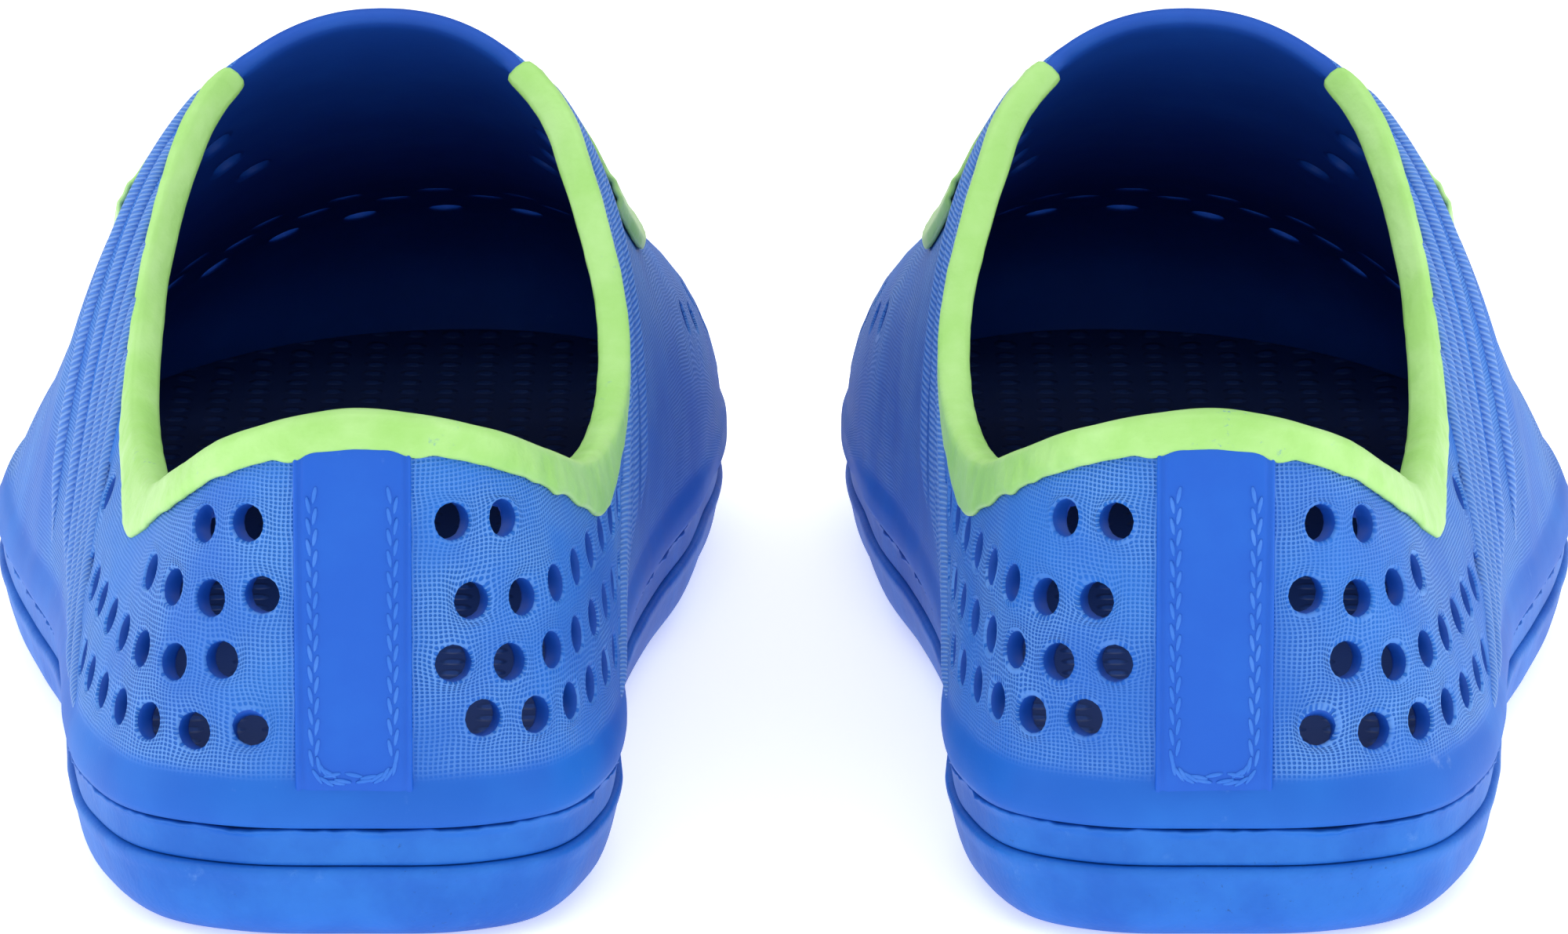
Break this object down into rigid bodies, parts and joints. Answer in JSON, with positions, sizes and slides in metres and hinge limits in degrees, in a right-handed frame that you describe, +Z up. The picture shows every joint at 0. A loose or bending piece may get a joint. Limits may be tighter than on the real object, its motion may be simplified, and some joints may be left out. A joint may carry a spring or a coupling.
{
  "type": "garden clog pair",
  "caption": "Pair of moulded foam slip-on garden clogs with perforated canvas-grain uppers, lime collar and eyestay trim, heel strips and two-layer soles.",
  "frame": {"origin": "on the ground, midway between the two clogs and midway between heel and toe", "axes": "+Z up, +Y from the heels towards the toes, +X to the wearer's right; the pair is mirrored about X = 0"},
  "size_m": [0.2424, 0.2813, 0.1084],
  "materials": {
    "perforated_foam": "matt closed-cell foam with a moulded canvas grain",
    "smooth_foam": "smooth satin closed-cell foam",
    "footbed_foam": "soft matt foam with raised nubs",
    "sole_foam": "fine moulded grain, scuffed at the heel",
    "lime_coating": "satin coating over the foam, with small wear marks"
  },
  "bodies": {
    "left_clog": {"left_upper_shell": "perforated_foam", "left_collar_trim": "lime_coating", "left_eyestay": "lime_coating", "left_heel_strip": "smooth_foam", "left_footbed": "footbed_foam", "left_midsole": "sole_foam", "left_outsole": "sole_foam"},
    "right_clog": {"right_upper_shell": "perforated_foam", "right_collar_trim": "lime_coating", "right_eyestay": "lime_coating", "right_heel_strip": "smooth_foam", "right_footbed": "footbed_foam", "right_midsole": "sole_foam", "right_outsole": "sole_foam"}
  },
  "joints": [
    {"name": "pair_spacing", "type": "slide", "parent": "left_clog", "child": "right_clog", "axis": [1, 0, 0], "range_m": [-0.015, 0.12]}
  ]
}
